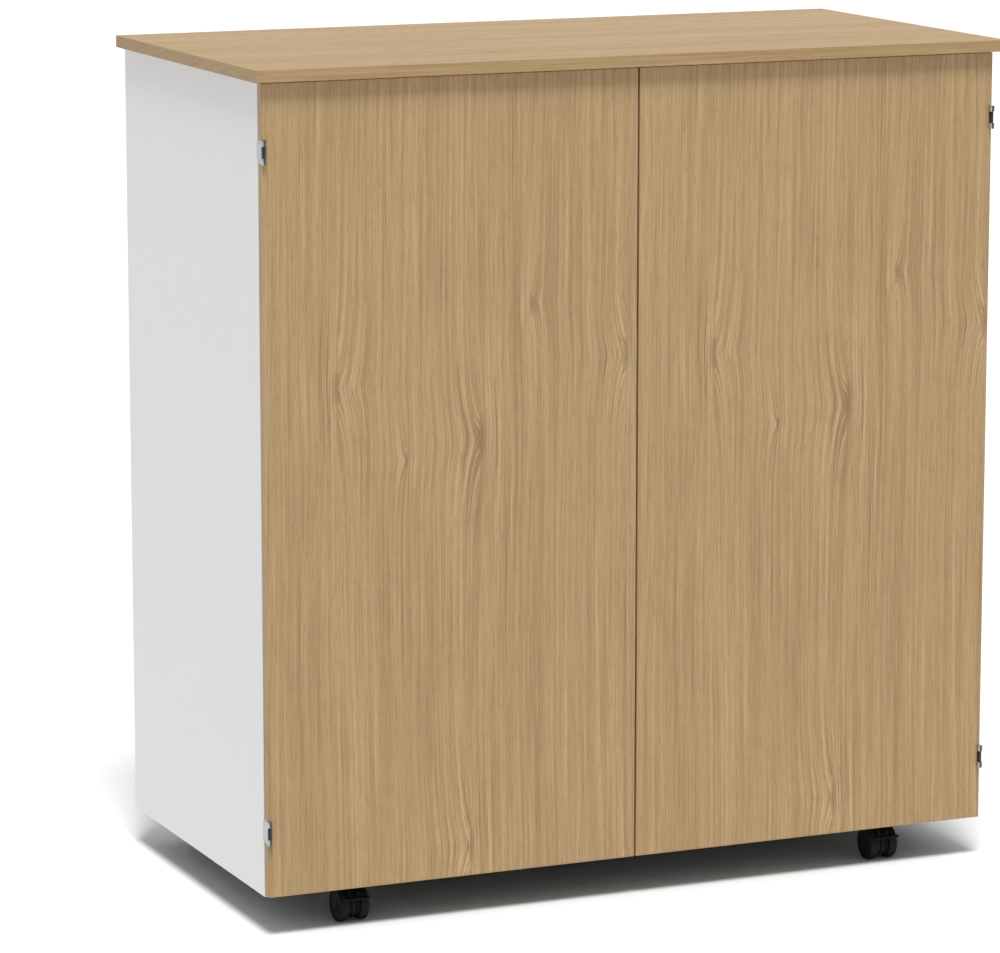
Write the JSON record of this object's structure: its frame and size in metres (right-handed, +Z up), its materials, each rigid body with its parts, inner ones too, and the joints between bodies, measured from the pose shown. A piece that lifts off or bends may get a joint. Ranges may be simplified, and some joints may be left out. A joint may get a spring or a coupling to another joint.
{
  "type": "housekeeping cupboard on castors",
  "caption": "Mobile housekeeping cupboard: white carcass, oak-effect double doors on wrap-round hinges, overhanging top, inner shelves, swivelling twin-wheel castors with brakes.",
  "frame": {"origin": "on the floor, under the middle of the top board", "axes": "+X to the right, +Y to the back, +Z up"},
  "size_m": [1.2, 0.6, 1.265],
  "materials": {
    "oak_board": "satin oak-effect laminate with matching edge bands",
    "white_board": "matt white laminate",
    "bright_zinc": "bright nickel plate",
    "black_steel": "satin black",
    "plain_steel": "zinc plated",
    "plated_screws": "zinc plated",
    "cast_zinc": "as cast",
    "beech_dowel": "plain beech",
    "grey_plastic": "moulded, matt",
    "pale_plastic": "moulded, satin",
    "castor_black": "moulded nylon, fine grain",
    "wheel_black": "moulded nylon, satin"
  },
  "bodies": {
    "cabinet": {"top_board": "oak_board", "left_side_panel": "white_board", "right_side_panel": "white_board", "bottom_panel": "white_board", "back_panel": "white_board", "centre_partition": "white_board", "left_lower_shelf": "white_board", "left_upper_shelf": "white_board", "right_lower_shelf": "white_board", "right_upper_shelf": "white_board", "shelf_pins": "plain_steel", "carcass_dowels": "beech_dowel", "cam_bolts": "plain_steel", "cam_discs": "cast_zinc", "back_panel_screws": "plated_screws", "left_lower_hinge_wing": "bright_zinc", "left_upper_hinge_wing": "bright_zinc", "right_lower_hinge_wing": "bright_zinc", "right_upper_hinge_wing": "bright_zinc", "hinge_pins": "plain_steel", "hinge_wing_screws": "plated_screws", "left_latch_housing": "grey_plastic", "right_latch_housing": "grey_plastic", "latch_screws": "plated_screws", "front_left_castor_plate": "plain_steel", "front_right_castor_plate": "plain_steel", "rear_left_castor_plate": "plain_steel", "rear_right_castor_plate": "plain_steel", "castor_plate_screws": "plated_screws"},
    "left_door": {"left_door": "oak_board", "left_lower_hinge_leaf": "black_steel", "left_upper_hinge_leaf": "black_steel", "left_door_screws": "plated_screws", "left_strike_plate": "plain_steel"},
    "left_latch_plunger": {"left_latch_plunger": "pale_plastic"},
    "right_door": {"right_door": "oak_board", "right_lower_hinge_leaf": "black_steel", "right_upper_hinge_leaf": "black_steel", "right_door_screws": "plated_screws", "right_strike_plate": "plain_steel"},
    "right_latch_plunger": {"right_latch_plunger": "pale_plastic"},
    "front_left_castor": {"front_left_castor_hood": "castor_black", "front_left_castor_axle": "plain_steel"},
    "front_left_left_wheel": {"front_left_left_wheel": "wheel_black"},
    "front_left_right_wheel": {"front_left_right_wheel": "wheel_black"},
    "front_right_castor": {"front_right_castor_hood": "castor_black", "front_right_castor_axle": "plain_steel"},
    "front_right_left_wheel": {"front_right_left_wheel": "wheel_black"},
    "front_right_right_wheel": {"front_right_right_wheel": "wheel_black"},
    "rear_left_castor": {"rear_left_castor_hood": "castor_black", "rear_left_castor_axle": "plain_steel"},
    "rear_left_left_wheel": {"rear_left_left_wheel": "wheel_black"},
    "rear_left_right_wheel": {"rear_left_right_wheel": "wheel_black"},
    "rear_right_castor": {"rear_right_castor_hood": "castor_black", "rear_right_castor_axle": "plain_steel"},
    "rear_right_left_wheel": {"rear_right_left_wheel": "wheel_black"},
    "rear_right_right_wheel": {"rear_right_right_wheel": "wheel_black"},
    "front_left_brake_pedal": {"front_left_brake_pedal": "castor_black"},
    "front_right_brake_pedal": {"front_right_brake_pedal": "castor_black"}
  },
  "joints": [
    {"name": "left_door_hinge", "type": "hinge", "parent": "cabinet", "child": "left_door", "pos_m": [-0.5845, -0.2896, 0.65375], "axis": [0, 0, -1], "range_deg": [0, 270]},
    {"name": "right_door_hinge", "type": "hinge", "parent": "cabinet", "child": "right_door", "pos_m": [0.5845, -0.2896, 0.65375], "axis": [0, 0, 1], "range_deg": [0, 270]},
    {"name": "left_latch_press", "type": "slide", "parent": "cabinet", "child": "left_latch_plunger", "axis": [0, 1, 0], "range_m": [0, 0.0012], "stiffness_N_per_m": 600, "springref_m": -0.004},
    {"name": "right_latch_press", "type": "slide", "parent": "cabinet", "child": "right_latch_plunger", "axis": [0, 1, 0], "range_m": [0, 0.0012], "stiffness_N_per_m": 600, "springref_m": -0.004},
    {"name": "front_left_swivel", "type": "hinge", "parent": "cabinet", "child": "front_left_castor", "pos_m": [-0.439, -0.2135, 0.056], "axis": [0, 0, 1], "continuous": true},
    {"name": "front_left_left_wheel_roll", "type": "hinge", "parent": "front_left_castor", "child": "front_left_left_wheel", "pos_m": [-0.439, -0.2315, 0.025], "axis": [1, 0, 0], "continuous": true},
    {"name": "front_left_right_wheel_roll", "type": "hinge", "parent": "front_left_castor", "child": "front_left_right_wheel", "pos_m": [-0.439, -0.2315, 0.025], "axis": [1, 0, 0], "continuous": true},
    {"name": "front_right_swivel", "type": "hinge", "parent": "cabinet", "child": "front_right_castor", "pos_m": [0.439, -0.2135, 0.056], "axis": [0, 0, 1], "continuous": true},
    {"name": "front_right_left_wheel_roll", "type": "hinge", "parent": "front_right_castor", "child": "front_right_left_wheel", "pos_m": [0.439, -0.2315, 0.025], "axis": [1, 0, 0], "continuous": true},
    {"name": "front_right_right_wheel_roll", "type": "hinge", "parent": "front_right_castor", "child": "front_right_right_wheel", "pos_m": [0.439, -0.2315, 0.025], "axis": [1, 0, 0], "continuous": true},
    {"name": "rear_left_swivel", "type": "hinge", "parent": "cabinet", "child": "rear_left_castor", "pos_m": [-0.439, 0.245, 0.056], "axis": [0, 0, 1], "continuous": true},
    {"name": "rear_left_left_wheel_roll", "type": "hinge", "parent": "rear_left_castor", "child": "rear_left_left_wheel", "pos_m": [-0.439, 0.263, 0.025], "axis": [1, 0, 0], "continuous": true},
    {"name": "rear_left_right_wheel_roll", "type": "hinge", "parent": "rear_left_castor", "child": "rear_left_right_wheel", "pos_m": [-0.439, 0.263, 0.025], "axis": [1, 0, 0], "continuous": true},
    {"name": "rear_right_swivel", "type": "hinge", "parent": "cabinet", "child": "rear_right_castor", "pos_m": [0.439, 0.245, 0.056], "axis": [0, 0, 1], "continuous": true},
    {"name": "rear_right_left_wheel_roll", "type": "hinge", "parent": "rear_right_castor", "child": "rear_right_left_wheel", "pos_m": [0.439, 0.263, 0.025], "axis": [1, 0, 0], "continuous": true},
    {"name": "rear_right_right_wheel_roll", "type": "hinge", "parent": "rear_right_castor", "child": "rear_right_right_wheel", "pos_m": [0.439, 0.263, 0.025], "axis": [1, 0, 0], "continuous": true},
    {"name": "front_left_brake", "type": "hinge", "parent": "front_left_castor", "child": "front_left_brake_pedal", "pos_m": [-0.439, -0.2435, 0.044], "axis": [1, 0, 0], "range_deg": [0, 12]},
    {"name": "front_right_brake", "type": "hinge", "parent": "front_right_castor", "child": "front_right_brake_pedal", "pos_m": [0.439, -0.2435, 0.044], "axis": [1, 0, 0], "range_deg": [0, 12]}
  ]
}
